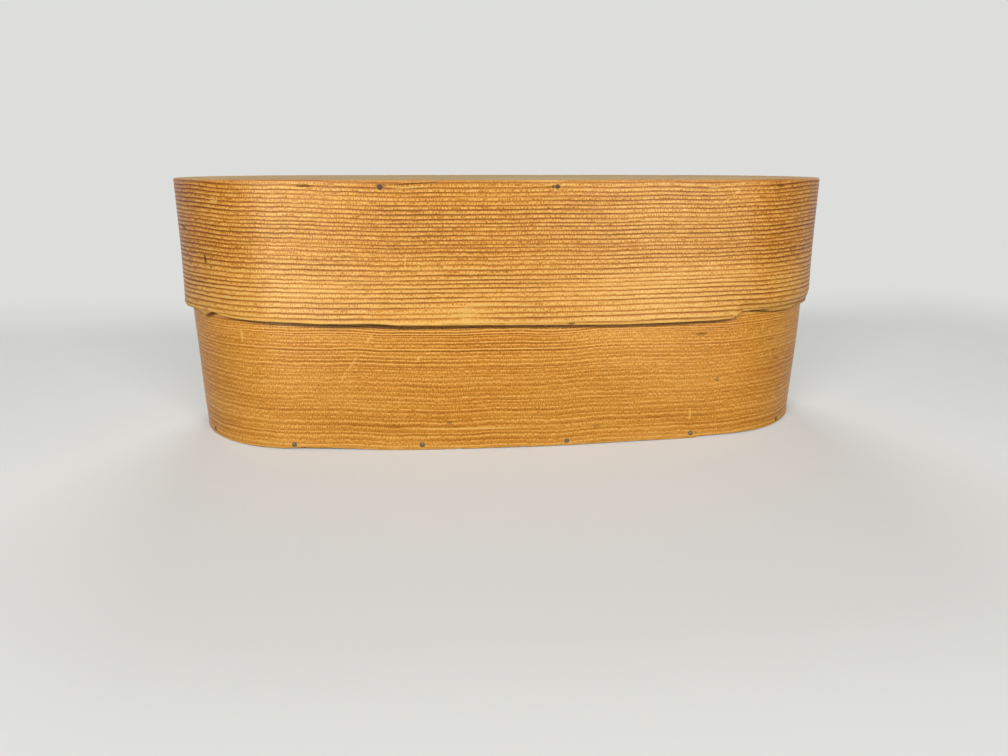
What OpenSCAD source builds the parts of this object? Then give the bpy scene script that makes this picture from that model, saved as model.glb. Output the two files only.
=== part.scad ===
// Oval bentwood hatbox with a deep lift-off lid.
// Body and lid are made alike: one thin softwood band is bent to an oval round a board, its two ends
// are thinned and lapped at the middle of the back, and iron tacks hold the lap and the board.
// Sizes are in millimetres. The origin is the middle of the base, with +Z up, +X to the right and
// +Y to the back.

/* [Overall] */
// Length over the upper half of the lid
lid_length = 480; // [360:1:560]
// Width over the upper half of the lid
lid_width = 216; // [180:1:270]
// How far each long side bows out beyond the end curves
side_bow = 10; // [6:0.5:16]
// Height of the closed box
box_height = 182; // [150:1:230]
// Height of the lid's band at its middle
lid_height = 93; // [70:1:110]
// How much lower the lid's mouth hangs at the right end than at the left
mouth_slant = 8; // [0:0.5:12]

/* [Wood] */
// Thickness of the lid's band
lid_wall = 3.2; // [2.4:0.1:4]
// Thickness of the body's band
body_wall = 3.2; // [2.4:0.1:4]
// Thickness of the lid's board
lid_board_thickness = 8; // [6:0.5:12]
// Thickness of the bottom board
bottom_board_thickness = 8; // [6:0.5:12]
// Depth of the lid's board below the rim
lid_board_recess = 0.3; // [0:0.1:1.5]

/* [Lean of the walls] */
// How far the lid's band spreads at its mouth
lid_flare = 1.5; // [0.4:0.1:2.5]
// Height over which the lid's band spreads
flare_height = 60; // [30:1:65]
// How far the body's band draws in at its foot
body_draw = 2; // [0.5:0.1:4]
// Height over which the body's band draws in, above the bottom board
draw_height = 100; // [50:1:120]

/* [Laps] */
// Length of each lap, along the back
lap_length = 75; // [50:1:110]
// Thickness that each end of a band is thinned to at its tip
lap_tip = 1.2; // [0.9:0.1:1.5]
// Steps in which each end is thinned
lap_steps = 3; // [2:1:4]
// Gap between the two ends of a lap
lap_gap = 0.2; // [0.1:0.05:0.3]

/* [Fits] */
// Gap between the body's band and the upper half of the lid's band
lid_clearance = 0.8; // [0.4:0.1:2]
// Gap round the edge of each board
board_clearance = 0.1; // [0.05:0.05:0.4]

/* [Tacks] */
// Radius of a tack's head
head_radius = 1.9; // [1.4:0.1:2.5]
// Thickness of a tack's head at its middle
head_height = 0.9; // [0.6:0.1:1.2]
// Thickness of a tack's head at its edge
head_edge = 0.5; // [0.3:0.1:0.6]
// Radius of the flat at the top of a tack's head
head_flat = 1.1; // [0.5:0.1:1.3]
// Depth that a tack's head is driven into the wood
head_sink = 0.7; // [0.4:0.1:1.2]
// Radius of a tack's shank
shank_radius = 0.7; // [0.5:0.1:1]
// Length of a board tack under its head
board_tack_shank = 12; // [8:0.5:16]
// Length of a board tack's point
tack_point = 2.5; // [1:0.5:4]
// Gap round a tack's shank and head
tack_clearance = 0.05; // [0.02:0.01:0.1]
// Tacks round the base, beyond those set on the front
more_bottom_tacks = 9; // [5:1:12]
// Tacks round the lid, beyond those set on the front
more_lid_tacks = 8; // [5:1:11]
// Tacks up the body's lap
body_lap_tack_count = 5; // [3:1:7]
// Tacks up the lid's lap
lid_lap_tack_count = 4; // [3:1:5]
// Distance of the lap tacks from the outer end of the lap
lap_tack_inset = 12; // [6:1:20]

/* [Broken edges] */
// Height of the strip broken off the lid's mouth at the right end
lid_chip_height = 8; // [4:0.5:12]
// Height of the thin tail of that break
lid_chip_tail = 6.5; // [1:0.5:8]
// Height of the strip worn off the body's foot at the right end
foot_chip_height = 1.4; // [0.8:0.1:3]

/* [Hidden] */
$fn = 48;

// Places of the tacks set on the front, as distances along the outline from its middle
front_bottom_tacks = [-155, -67, 34, 126, 208];
front_lid_tacks = [-136, -88, 23, 179];

// Where the breaks start and end on the curve of the right end, in degrees from straight right
lid_chip_start = -80;
lid_chip_step = -58;
lid_chip_end = 8;
foot_chip_start = -80;
foot_chip_end = 10;

// Straight steps that a leaning wall is made of
lean_steps = 4;
// How far the facets of a large arc may lie off the true arc
facet_error = 0.01;
// Directions that outline the wedge of an arc
wedge_steps = 4;
// How far a cut runs past the wood
cut_margin = 4;
// How far the walls of the long sides stand outside those of the ends, and run on past them,
// so that the two cross cleanly where they meet
join_step = 0.02;
join_run = 2;

// The oval is four arcs that meet smoothly: two ends, and two long sides of large radius
half_width = lid_width / 2;
end_radius = half_width - side_bow;
end_centre = lid_length / 2 - end_radius;
side_radius = (pow(end_centre, 2) + pow(half_width, 2) - pow(end_radius, 2)) / (2 * side_bow);
side_drop = side_radius - half_width;
join_angle = atan2(side_drop, end_centre);
side_sweep = 180 - 2 * join_angle;
end_sweep = 2 * join_angle;
join_overlap = join_run / side_radius * 180 / PI;

// Each arc as centre x, centre y, radius, start angle and sweep, from the right end round by the back
arcs = [
    [end_centre, 0, end_radius, -join_angle, end_sweep],
    [0, -side_drop, side_radius, join_angle, side_sweep],
    [-end_centre, 0, end_radius, 180 - join_angle, end_sweep],
    [0, side_drop, side_radius, 180 + join_angle, side_sweep]
];

// Outer faces of the bands, as offsets from the oval of the lid's upper half
lid_face = 0;
body_face = lid_face - lid_wall - lid_clearance;
foot_face = body_face - body_draw;

// Heights
lid_mouth = box_height - lid_height;
mouth_low = lid_mouth - mouth_slant / 2;
lid_stock = mouth_low - cut_margin;
flare_top = lid_mouth + flare_height;
lid_board_top = box_height - lid_board_recess;
body_top = lid_board_top - lid_board_thickness;
draw_top = bottom_board_thickness + draw_height;
lid_tack_height = lid_board_top - lid_board_thickness / 2;
bottom_tack_height = bottom_board_thickness / 2;

// Lean of each wall at a height: the walls curve gently out to the lid's mouth and in to the foot
lid_lean = function (z) lid_flare * pow(max(0, flare_top - z) / flare_height, 2);
body_lean = function (z) -body_draw * pow(min(1, max(0, draw_top - z) / draw_height), 2);

// Heights at which each wall's profile changes its lean
lid_levels = [
    lid_stock,
    for (step = [0 : lean_steps]) lid_mouth + step * flare_height / lean_steps,
    box_height
];
body_levels = [0, for (step = [0 : lean_steps]) draw_top - draw_height * (1 - step / lean_steps), body_top];

// A wall's profile, as pairs of height and lean
function profile(levels, lean) = [for (z = levels) [z, lean(z)]];

// A profile that runs past the wall at its foot and top, for cuts
function past_ends(levels, lean) = let (last = len(levels) - 1) [
    [levels[0] - cut_margin, lean(levels[0])],
    each profile(levels, lean),
    [levels[last] + cut_margin, lean(levels[last])]
];

// Number of facets in a full turn of a large arc
function facets(radius) = ceil(180 / acos(1 - facet_error / radius));

// Section of a wall between two offsets from an arc
module wall_section(points, radius, inner, outer) {
    outside = [for (point = points) [radius + outer + point[1], point[0]]];
    inside = [for (point = points) [radius + inner + point[1], point[0]]];
    last = len(points) - 1;
    polygon(concat(outside, [for (i = [0 : last]) inside[last - i]]));
}

// A whole oval wall between two offsets
module oval_wall(points, inner, outer) {
    for (arc = arcs) {
        step = arc[1] == 0 ? 0 : join_step;
        overlap = arc[1] == 0 ? 0 : join_overlap;
        translate([arc[0], arc[1], 0])
            rotate_extrude(start = arc[3] - overlap, angle = arc[4] + 2 * overlap, $fn = facets(arc[2]))
                wall_section(points, arc[2] + step, inner, outer);
    }
}

// Wedge of the plan in front of one arc: from the end's centre, or from the line between both centres
module arc_wedge(arc) {
    reach = arc[2] + lid_width;
    fan = [for (step = [0 : wedge_steps])
        let (angle = arc[3] + arc[4] * step / wedge_steps)
        [arc[0] + reach * cos(angle), arc[1] + reach * sin(angle)]];
    back = arc[1] == 0 ? [[arc[0], 0]] : [for (side = [1, -1]) [side * sign(arc[1]) * end_centre, 0]];
    polygon(concat(fan, back));
}

// The filled oval, grown by an offset
module oval(face) {
    for (arc = arcs)
        intersection() {
            translate([arc[0], arc[1]])
                circle(arc[2] + face, $fn = facets(arc[2]));
            arc_wedge(arc);
        }
}

// Angle that a distance along an arc spans
function degrees(run, radius) = run / radius * 180 / PI;

// Stretch of the back wall, between two distances from its middle and two offsets
module back_wall(points, from, to, inner, outer) {
    start = 90 - degrees(to, side_radius);
    sweep = degrees(to - from, side_radius);
    translate([0, -side_drop, 0])
        rotate_extrude(start = start, angle = sweep, $fn = facets(side_radius))
            wall_section(points, side_radius, inner, outer);
}

// Cut between the two ends of a lap. It climbs from the inner face to the outer face in steps:
// each end thins towards its tip, and the outer end's tip lies to the right
module lap_cut(points, face, wall) {
    tread = lap_length / lap_steps;
    climb = (wall - 2 * lap_tip) / (lap_steps - 1);
    depths = [
        face - wall - cut_margin,
        for (step = [0 : lap_steps - 1]) face - wall + lap_tip + step * climb,
        face + cut_margin
    ];
    for (step = [0 : lap_steps]) {
        riser = step * tread - lap_length / 2;
        back_wall(points, riser - lap_gap / 2, riser + lap_gap / 2,
                  depths[step] - lap_gap / 2, depths[step + 1] + lap_gap / 2);
        if (step < lap_steps)
            back_wall(points, riser, riser + tread,
                      depths[step + 1] - lap_gap / 2, depths[step + 1] + lap_gap / 2);
    }
}

// A bent band: an oval wall with its ends lapped at the back
module bent_band(levels, lean, face, wall) {
    difference() {
        oval_wall(profile(levels, lean), face - wall, face);
        lap_cut(past_ends(levels, lean), face, wall);
    }
}

// Cut that trims the lid's band to its mouth, which slants down to the right
module mouth_cut() {
    tilt = atan(mouth_slant / lid_length);
    depth = mouth_slant + 2 * cut_margin;
    translate([0, 0, lid_mouth])
        rotate([0, tilt, 0])
            translate([-lid_length, -lid_width, -depth])
                cube([2 * lid_length, 2 * lid_width, depth]);
}

// Strip broken off the right end of a band, up to a height
module end_break(start, end, face, wall, bottom, height) {
    inner = end_radius + face - wall - cut_margin;
    translate([end_centre, 0, 0])
        rotate_extrude(start = start, angle = end - start, $fn = facets(end_radius))
            translate([inner, bottom - cut_margin])
                square([wall + 2 * cut_margin, height + cut_margin]);
}

// Lengths of half a long side, of an end and of the whole outline, at an offset
function side_run(face) = (side_radius + face) * side_sweep / 2 * PI / 180;
function end_run(face) = (end_radius + face) * end_sweep * PI / 180;
function outline_run(face) = 4 * side_run(face) + 2 * end_run(face);

// Arc and direction at a distance along the outline, from the middle of the front to the right
function outline_spot(run, face) =
    let (side = side_run(face), end = end_run(face))
    let (at = run < 0 ? run + outline_run(face) : run)
    at < side ? [arcs[3], degrees(at, side_radius + face) - 90] :
    at < side + end ? [arcs[0], degrees(at - side, end_radius + face) - join_angle] :
    at < 3 * side + end ? [arcs[1], degrees(at - side - end, side_radius + face) + join_angle] :
    at < 3 * side + 2 * end ? [arcs[2], degrees(at - 3 * side - end, end_radius + face) + 180 - join_angle] :
    [arcs[3], degrees(at - 3 * side - 2 * end, side_radius + face) + 180 + join_angle];

// Sets something on an arc's outer face, with its own +Z pointing out of the wall
module on_arc(arc, angle, face, z) {
    translate([arc[0], arc[1], z])
        rotate([0, 0, angle])
            translate([arc[2] + face, 0, 0])
                rotate([0, 90, 0])
                    children();
}

// Distances of a row of board tacks: those set on the front, and the rest spread evenly round the back
function tack_row(front, more, face) =
    let (last = front[len(front) - 1])
    let (gap = (outline_run(face) + front[0] - last) / (more + 1))
    [each front, for (i = [1 : more]) last + i * gap];

module board_tack_places(front, more, face, z) {
    for (run = tack_row(front, more, face)) {
        spot = outline_spot(run, face);
        on_arc(spot[0], spot[1], face, z)
            children();
    }
}

// Places of a column of lap tacks, between two heights
module lap_tack_places(count, low, high, lean, face) {
    angle = 90 - degrees(lap_length / 2 - lap_tack_inset, side_radius);
    for (i = [1 : count]) {
        z = low + (high - low) * (i - 0.5) / count;
        on_arc(arcs[1], angle, face + lean(z), z)
            children();
    }
}

// Length of a lap tack's shank, which ends flush with the band's inner face
function lap_tack_shank(wall) = wall - head_sink;

// A tack with its head's underside below the wood's face: slightly domed head, round shank, point
module tack(shank, point) {
    translate([0, 0, -head_sink])
        rotate_extrude()
            polygon([
                [0, -shank],
                [point > 0 ? 0 : shank_radius, -shank],
                [shank_radius, point - shank],
                [shank_radius, 0],
                [head_radius, 0],
                [head_radius, head_edge],
                [head_flat, head_height],
                [0, head_height]
            ]);
}

// The hole that a tack makes: a seat for its head, and a bore for its shank
module tack_hole(shank) {
    translate([0, 0, -head_sink]) {
        cylinder(r = head_radius + tack_clearance, h = head_sink + cut_margin);
        translate([0, 0, -shank - tack_clearance])
            cylinder(r = shank_radius + tack_clearance, h = shank + cut_margin);
    }
}

module bottom_tack_places()
    board_tack_places(front_bottom_tacks, more_bottom_tacks, foot_face, bottom_tack_height)
        children();

module lid_tack_places()
    board_tack_places(front_lid_tacks, more_lid_tacks, lid_face, lid_tack_height)
        children();

module body_lap_tack_places()
    lap_tack_places(body_lap_tack_count, bottom_board_thickness, body_top, body_lean, body_face)
        children();

module lid_lap_tack_places()
    lap_tack_places(lid_lap_tack_count, lid_mouth, body_top, lid_lean, lid_face)
        children();

module body_band() {
    color("#cc8b3c")
        difference() {
            bent_band(body_levels, body_lean, body_face, body_wall);
            end_break(foot_chip_start, foot_chip_end, foot_face, body_wall, 0, foot_chip_height);
            bottom_tack_places() tack_hole(board_tack_shank);
            body_lap_tack_places() tack_hole(lap_tack_shank(body_wall) + cut_margin);
        }
}

module bottom_board() {
    color("#b98f57")
        difference() {
            linear_extrude(bottom_board_thickness)
                oval(foot_face - body_wall - board_clearance);
            bottom_tack_places() tack_hole(board_tack_shank);
        }
}

module bottom_tacks() {
    color("#6a655f")
        bottom_tack_places() tack(board_tack_shank, tack_point);
}

module body_lap_tacks() {
    color("#6a655f")
        body_lap_tack_places() tack(lap_tack_shank(body_wall), 0);
}

module lid_band() {
    color("#d2934a")
        difference() {
            bent_band(lid_levels, lid_lean, lid_face, lid_wall);
            mouth_cut();
            end_break(lid_chip_start, lid_chip_step, lid_face, lid_wall, mouth_low, lid_chip_height);
            end_break(lid_chip_step, lid_chip_end, lid_face, lid_wall, mouth_low, lid_chip_tail);
            lid_tack_places() tack_hole(board_tack_shank);
            lid_lap_tack_places() tack_hole(lap_tack_shank(lid_wall) + cut_margin);
        }
}

module lid_board() {
    color("#b9a27a")
        difference() {
            translate([0, 0, body_top])
                linear_extrude(lid_board_thickness)
                    oval(lid_face - lid_wall - board_clearance);
            lid_tack_places() tack_hole(board_tack_shank);
        }
}

module lid_tacks() {
    color("#6a655f")
        lid_tack_places() tack(board_tack_shank, tack_point);
}

module lid_lap_tacks() {
    color("#6a655f")
        lid_lap_tack_places() tack(lap_tack_shank(lid_wall), 0);
}

body_band();
bottom_board();
bottom_tacks();
body_lap_tacks();
lid_band();
lid_board();
lid_tacks();
lid_lap_tacks();
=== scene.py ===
import math

import bmesh
import bpy
import numpy as np
from mathutils import Matrix, Vector


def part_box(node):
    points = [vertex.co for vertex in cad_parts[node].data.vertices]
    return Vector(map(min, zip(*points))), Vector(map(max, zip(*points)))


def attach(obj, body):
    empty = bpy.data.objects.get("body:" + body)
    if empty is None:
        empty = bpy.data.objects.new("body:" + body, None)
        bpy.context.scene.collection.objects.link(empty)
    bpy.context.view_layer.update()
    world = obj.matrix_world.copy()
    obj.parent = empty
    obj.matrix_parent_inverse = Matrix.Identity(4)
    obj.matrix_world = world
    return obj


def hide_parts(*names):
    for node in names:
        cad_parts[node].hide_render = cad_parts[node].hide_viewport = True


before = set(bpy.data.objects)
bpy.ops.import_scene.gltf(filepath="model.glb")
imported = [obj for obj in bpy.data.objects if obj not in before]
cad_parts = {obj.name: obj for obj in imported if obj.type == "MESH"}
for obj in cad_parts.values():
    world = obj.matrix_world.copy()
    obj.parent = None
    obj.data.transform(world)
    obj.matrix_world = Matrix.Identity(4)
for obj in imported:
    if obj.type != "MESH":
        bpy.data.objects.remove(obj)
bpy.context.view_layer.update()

# Body band
# The wall of the box: one thin board of straight-grained softwood, steamed and bent round an oval form.
# Its two ends are shaved thin and lapped at the back, and its foot is uneven and worn away at the right end.

mm = 0.001
side_bow = 10 * mm  # how far each long side of the oval bows out beyond its round ends
form_step = 0.5 * mm  # spacing of the points along a bending form
lap_length = 75 * mm
lap_tip = 1.2 * mm  # thickness of each end of a band at its tip
lap_gap = 0.2 * mm
tip_wear = 0.25 * mm  # how far the outer tip of a lap is rubbed down
tip_run = 1.5 * mm  # how far back from the tip that reaches
spare_grain = 5 * mm  # how far the growth rings are drawn beyond a band's edges, which cut them off
edge_wear = 1.1 * mm  # reach of the rubbed varnish at a lower edge
rim_wear = 0.4 * mm  # reach of the handled varnish at an upper edge
split_height = 9 * mm  # height over which a torn face slants in to its edge
back_rows = 24  # rows of faces on the inner side of a band
least_column = 0.08 * mm  # columns of faces closer than this are one
sway_height = 70 * mm  # height over which a sway drifts by up to one wave
board_weld = 1e-4 * mm  # corners of a board closer than this are one
solid_weld = 1e-3 * mm  # corners of a solid closer than this are one
body_wall = 3.2 * mm
body_round = 0.7 * mm  # radius of the rubbed edges
body_groove = 0.1 * mm  # depth of the furrow at each growth ring
body_draw = 2 * mm  # how far the wall draws in at its foot
draw_low = 8 * mm  # top of the upright foot, round the bottom board
draw_high = 108 * mm  # height at which the wall stands upright again


def oval_points(half_length, half_width):
    """Points once round an oval of four arcs, from the middle of the back by way of the left end."""
    end_radius = half_width - side_bow
    end_centre = half_length - end_radius
    drop = (end_centre ** 2 - side_bow ** 2) / (2 * side_bow)
    side_radius = half_width + drop
    join = math.atan2(drop, end_centre)
    arcs = (
        (0, -drop, side_radius, math.pi / 2, math.pi - join),
        (-end_centre, 0, end_radius, math.pi - join, math.pi + join),
        (0, drop, side_radius, math.pi + join, 2 * math.pi - join),
        (end_centre, 0, end_radius, -join, join),
        (0, -drop, side_radius, join, math.pi / 2),
    )
    points = []
    for x, y, radius, start, end in arcs:
        count = math.ceil(radius * (end - start) / form_step)
        angles = np.linspace(start, end, count, endpoint=False)
        points.append(np.stack([x + radius * np.cos(angles), y + radius * np.sin(angles)], axis=1))
    return np.concatenate(points)


def outline_length(points):
    return np.linalg.norm(points - np.roll(points, 1, axis=0), axis=1).sum()


def put_in_scene(name, data):
    piece = bpy.data.objects.new(name, data)
    bpy.context.collection.objects.link(piece)
    return piece


def new_piece(name, places, faces):
    """A new object in the scene, with a mesh of these corners and faces."""
    mesh = bpy.data.meshes.new(name)
    mesh.from_pydata(places, [], faces)
    return put_in_scene(name, mesh)


def add_node(kind, inputs=None, tree=None, **settings):
    """A new node, with inputs that are values or sockets to link from, in tree or the sockets' own tree."""
    inputs = inputs or {}
    sockets = [value for value in inputs.values() if isinstance(value, bpy.types.NodeSocket)]
    tree = tree or sockets[0].id_data
    node = tree.nodes.new(kind)
    for name, value in settings.items():
        setattr(node, name, value)
    for key, value in inputs.items():
        if isinstance(value, bpy.types.NodeSocket):
            tree.links.new(value, node.inputs[key])
        else:
            node.inputs[key].default_value = value
    return node


def add_output(kind, inputs=None, tree=None, **settings):
    """The first output of a new node."""
    return add_node(kind, inputs, tree, **settings).outputs[0]


def add_sum(operation, *values):
    """A Math node on one to three values, of which one or more are sockets."""
    return add_output("ShaderNodeMath", dict(enumerate(values)), operation=operation)


def plus(*values):
    return add_sum("ADD", *values)


def times(*values):
    return add_sum("MULTIPLY", *values)


def times_plus(value, factor, more):
    return add_sum("MULTIPLY_ADD", value, factor, more)


def larger(*values):
    return add_sum("MAXIMUM", *values)


def add_vectors(operation, *vectors):
    """A Vector Math node on one or two vectors, of which one or more are sockets."""
    return add_output("ShaderNodeVectorMath", dict(enumerate(vectors)), operation=operation)


def scaled(vector, factor):
    return add_output("ShaderNodeVectorMath", {0: vector, "Scale": factor}, operation="SCALE")


def vector_length(vector):
    return add_node("ShaderNodeVectorMath", {0: vector}, operation="LENGTH").outputs["Value"]


def axes_of(vector):
    return add_node("ShaderNodeSeparateXYZ", {"Vector": vector}).outputs


def combined(**axes):
    """A vector with these values along its axes, of which one or more are sockets."""
    return add_output("ShaderNodeCombineXYZ", axes)


def geometry_tree(name, inputs):
    """An empty geometry tree with named inputs, and its input and output nodes."""
    tree = bpy.data.node_groups.new(name, "GeometryNodeTree")
    tree.interface.new_socket("Geometry", in_out="INPUT", socket_type="NodeSocketGeometry")
    for socket, kind in inputs.items():
        tree.interface.new_socket(socket, in_out="INPUT", socket_type="NodeSocket" + kind)
    tree.interface.new_socket("Geometry", in_out="OUTPUT", socket_type="NodeSocketGeometry")
    return tree, tree.nodes.new("NodeGroupInput").outputs, tree.nodes.new("NodeGroupOutput").inputs


def bending_tree():
    """Bends a flat board round a form: X runs along the outline, Y goes into the wall, Z stays height."""
    tree, given, result = geometry_tree(
        "bend_round_form", {"Form": "Object", "Outside": "Material", "Inside": "Material"})
    form = add_node("GeometryNodeObjectInfo", {"Object": given["Form"]}).outputs["Geometry"]
    length = add_output("GeometryNodeCurveLength", {"Curve": form})
    flat = add_output("GeometryNodeInputPosition", tree=tree)
    axes = axes_of(flat)
    from_back = plus(axes["X"], times(length, 0.5))
    along = add_sum("FLOORED_MODULO", from_back, length)
    sample = add_node("GeometryNodeSampleCurve", {"Curves": form, "Length": along}, mode="LENGTH")
    outward = add_vectors("NORMALIZE", add_vectors("CROSS_PRODUCT", sample.outputs["Tangent"], (0, 0, 1)))
    shift = scaled(outward, times(axes["Y"], -1.0))
    lift = combined(Z=axes["Z"])
    bent = add_vectors("ADD", add_vectors("ADD", sample.outputs["Position"], shift), lift)
    wood = add_output("GeometryNodeSetPosition", {"Geometry": given["Geometry"], "Position": bent})
    wood = add_output("GeometryNodeSetMaterial", {"Geometry": wood, "Material": given["Outside"]})
    inside = add_output("GeometryNodeInputNamedAttribute", {"Name": "inside"}, tree, data_type="BOOLEAN")
    wood = add_output("GeometryNodeSetMaterial", {
        "Geometry": wood, "Selection": inside, "Material": given["Inside"]})
    tree.links.new(wood, result["Geometry"])
    return tree


def make_mesh(piece, tree, inputs):
    """Runs a geometry tree on a piece and keeps the result as its plain mesh."""
    modifier = piece.modifiers.new("make", "NODES")
    modifier.node_group = tree
    for socket in tree.interface.items_tree:
        if socket.in_out == "INPUT" and socket.name in inputs:
            modifier[socket.identifier] = inputs[socket.name]
    made = piece.evaluated_get(bpy.context.evaluated_depsgraph_get())
    mesh = bpy.data.meshes.new_from_object(made)
    piece.modifiers.clear()
    piece.data = mesh
    mesh.shade_smooth()


def between(place, points):
    """A value that runs straight from one point to the next. points are (place in millimetres, value)."""
    return np.interp(place / mm, *zip(*points))


def bend_band(board, outline, outside, inside):
    """Bends a flat board round an outline, which is laid on the floor as a closed curve."""
    curve = bpy.data.curves.new("form", "CURVE")
    curve.dimensions = "3D"
    spline = curve.splines.new("POLY")
    spline.points.add(len(outline) - 1)
    spline.points.foreach_set("co", np.pad(outline, ((0, 0), (0, 2))).ravel())
    spline.use_cyclic_u = True
    form = put_in_scene("form", curve)
    make_mesh(board, bend_round_form, {"Form": form, "Outside": outside, "Inside": inside})
    bpy.data.objects.remove(form)


def ring_rows(low, high, widths, uneven, strengths, rows, seed):
    """Heights of a board's rows of faces, with each row's growth ring number, furrow depth and strength.
    widths gives the ring width by height, uneven how far that strays, strengths the faintest and the
    strongest ring, and rows the share of the ring and the depth of each row."""
    random = np.random.default_rng(seed)
    made = []
    line, number = low - spare_grain, 0
    while line < high + spare_grain:
        width = between(line, widths) * mm * random.uniform(1 - uneven, 1 + uneven)
        strength = random.uniform(*strengths)
        made += [(line + share * width, number + share, depth * strength, strength) for share, depth in rows]
        line, number = line + width, number + 1
    return np.array(made).T


def sway(run, height, waves, seed):
    """A slow, random sway along a board that changes gently with height.
    waves are (length, swing) in millimetres."""
    random = np.random.default_rng(seed)
    total = 0
    for length, swing in waves:
        phase, drift = random.uniform(0, 2 * math.pi), random.uniform(-1, 1)
        turns = run / (length * mm) + drift * height / sway_height
        total = total + swing * mm * np.sin(2 * math.pi * turns + phase)
    return total


def smooth_step(value):
    value = np.clip(value, 0, 1)
    return value * value * (3 - 2 * value)


def bump(place, middle, width):
    """1 at a middle, falling off over about a width to both sides, in millimetres."""
    return np.exp(-((place - middle * mm) / (width * mm)) ** 2)


def eased(run, points):
    """A value by run that eases from one point to the next. points are (run, value) in millimetres."""
    places, values = np.array(points).T * mm
    before = np.clip(np.searchsorted(places, run) - 1, 0, len(places) - 2)
    share = smooth_step((run - places[before]) / (places[before + 1] - places[before]))
    return values[before] + share * (values[before + 1] - values[before])


def flat_board(name, runs, rows, edges, rounds, wall, furrow, split, slow_changes, length):
    """A band before it is bent: a flat board with furrowed growth rings on its face and thinned ends.
    edges are the heights of its foot and rim by run, rounds their radii, and split how far the face is torn
    away at the foot by run. slow_changes are functions of run and height: how far the wall leans out, how
    far the grain rises, how strongly the rings show and how much darker the wood is."""
    lean, wander, contrast, shade = slow_changes
    heights, numbers, depths, strengths = rows
    foot, rim = (edge[:, None] for edge in edges)
    foot_round, rim_round = rounds
    runs = runs[:, None]
    low, high = foot + foot_round, rim - rim_round
    turn = np.radians((22.5, 45, 67.5, 90))
    drop, inset = 1 - np.sin(turn), (1 - np.cos(turn)) / wall
    face = np.broadcast_to(heights, (len(runs), len(heights)))
    back = np.clip(np.linspace(heights.max(), heights.min(), back_rows), low, high)
    level = np.concatenate([
        face, rim - rim_round * drop, rim - rim_round * drop[::-1],
        back, foot + foot_round * drop, foot + foot_round * drop[::-1]], axis=1)
    share = np.concatenate([
        np.zeros(len(heights)), rim_round * inset, 1 - rim_round * inset[::-1],
        np.ones(back_rows), 1 - foot_round * inset, foot_round * inset[::-1]])
    on_face = np.arange(len(share)) < len(heights)
    on_back = share == 1

    rise = wander(runs, level)
    z = np.where(on_face, np.clip(level + rise, low, high), level)
    grain = z - rise
    half = length / 2
    overlap = np.clip((runs + half + lap_length / 2) / lap_length, 0, 1)
    underlap = np.clip((runs - half + lap_length / 2) / lap_length, 0, 1)
    thinning = wall - 2 * lap_tip
    outer = np.where(runs > half - lap_length / 2, lap_tip + lap_gap / 2 + underlap * thinning, 0)
    inner = np.where(runs < lap_length / 2 - half, lap_tip - lap_gap / 2 + overlap * thinning, wall)
    from_tip = (runs + half + lap_length / 2) / tip_run
    outer = outer + tip_wear * np.clip(1 - from_tip, 0, 1) ** 2
    outer = outer + split[:, None] * smooth_step(1 - (level - foot) / split_height)
    from_edge = np.minimum(z - low, high - z)
    furrows = furrow * np.interp(grain, heights, depths) * smooth_step(from_edge / edge_wear) * on_face
    y = outer + share * (inner - outer) + furrows - lean(runs, z)
    x = np.broadcast_to(runs, z.shape)

    columns, stations = z.shape
    index = np.arange(columns * stations).reshape(columns, stations)
    ahead = np.roll(index, -1, axis=1)
    quads = np.stack([index[:-1], index[1:], ahead[1:], ahead[:-1]], axis=-1).reshape(-1, 4)
    faces = quads.tolist() + [index[0].tolist(), index[-1][::-1].tolist()]
    piece = new_piece(name, np.stack([x, y, z], axis=-1).reshape(-1, 3), faces)
    mesh = piece.data
    inside_quads = np.broadcast_to(on_back & np.roll(on_back, -1), (columns - 1, stations)).ravel()
    inside = np.concatenate([inside_quads, [False, False]])
    mesh.attributes.new("inside", "BOOLEAN", "FACE").data.foreach_set("value", inside)
    point_values = {
        "ring": np.interp(grain, heights, numbers),
        "strength": np.interp(grain, heights, strengths) * contrast(runs, z),
        "shade": shade(runs, z),
        "worn": np.exp(-np.clip(z - low, 0, None) / edge_wear),
        "rim": np.exp(-np.clip(high - z, 0, None) / rim_wear),
    }
    for label, values in point_values.items():
        values = values.astype(np.float32).ravel()
        mesh.attributes.new(label, "FLOAT", "POINT").data.foreach_set("value", values)
    corner = np.empty(len(mesh.loops), np.int32)
    mesh.loops.foreach_get("vertex_index", corner)
    for label, height in (("grain", grain), ("place", z)):
        flat = np.stack([x, height], axis=-1).reshape(-1, 2)
        mesh.uv_layers.new(name=label).data.foreach_set("uv", flat[corner].astype(np.float32).ravel())

    board = bmesh.new()
    board.from_mesh(mesh)
    bmesh.ops.remove_doubles(board, verts=board.verts, dist=board_weld)
    board.to_mesh(mesh)
    board.free()
    return piece


noise_low, noise_high = 0.3, 0.7  # range in which nearly all of a noise lies
mark_core, mark_edge = 0.5, 0.95  # shares of a mark's reach between which it fades
ring_stray = 0.08  # how far the line of a ring strays, as a share of the ring
ring_depth = 0.76  # how far a ring at full strength darkens the wood, as a share of its tones
ragged_scale = 600.0  # fineness of the noise that makes marks ragged
ragged_reach = 1 * mm
tack_halo = (3.8, 3.5, 0, 0.25)  # rubbed wood round a tack: half length, half height, turn and strength
tack_rust = (2.5, 2.5, 0)  # rusty wood round a tack: half length, half height and turn
# The dark line down a lap's tip is painted shade in the corner of the step, with some dirt
seam_half_width, seam_dark = 0.8, 0.85  # dark line down the tip of a lap: reach and strength


def paint(red, green, blue):
    """A colour as it looks on a screen, from 0 to 255, as the linear colour that a shader takes."""
    levels = [value / 255 for value in (red, green, blue)]
    linear = [level / 12.92 if level <= 0.04045 else ((level + 0.055) / 1.055) ** 2.4 for level in levels]
    return (*linear, 1)


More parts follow.
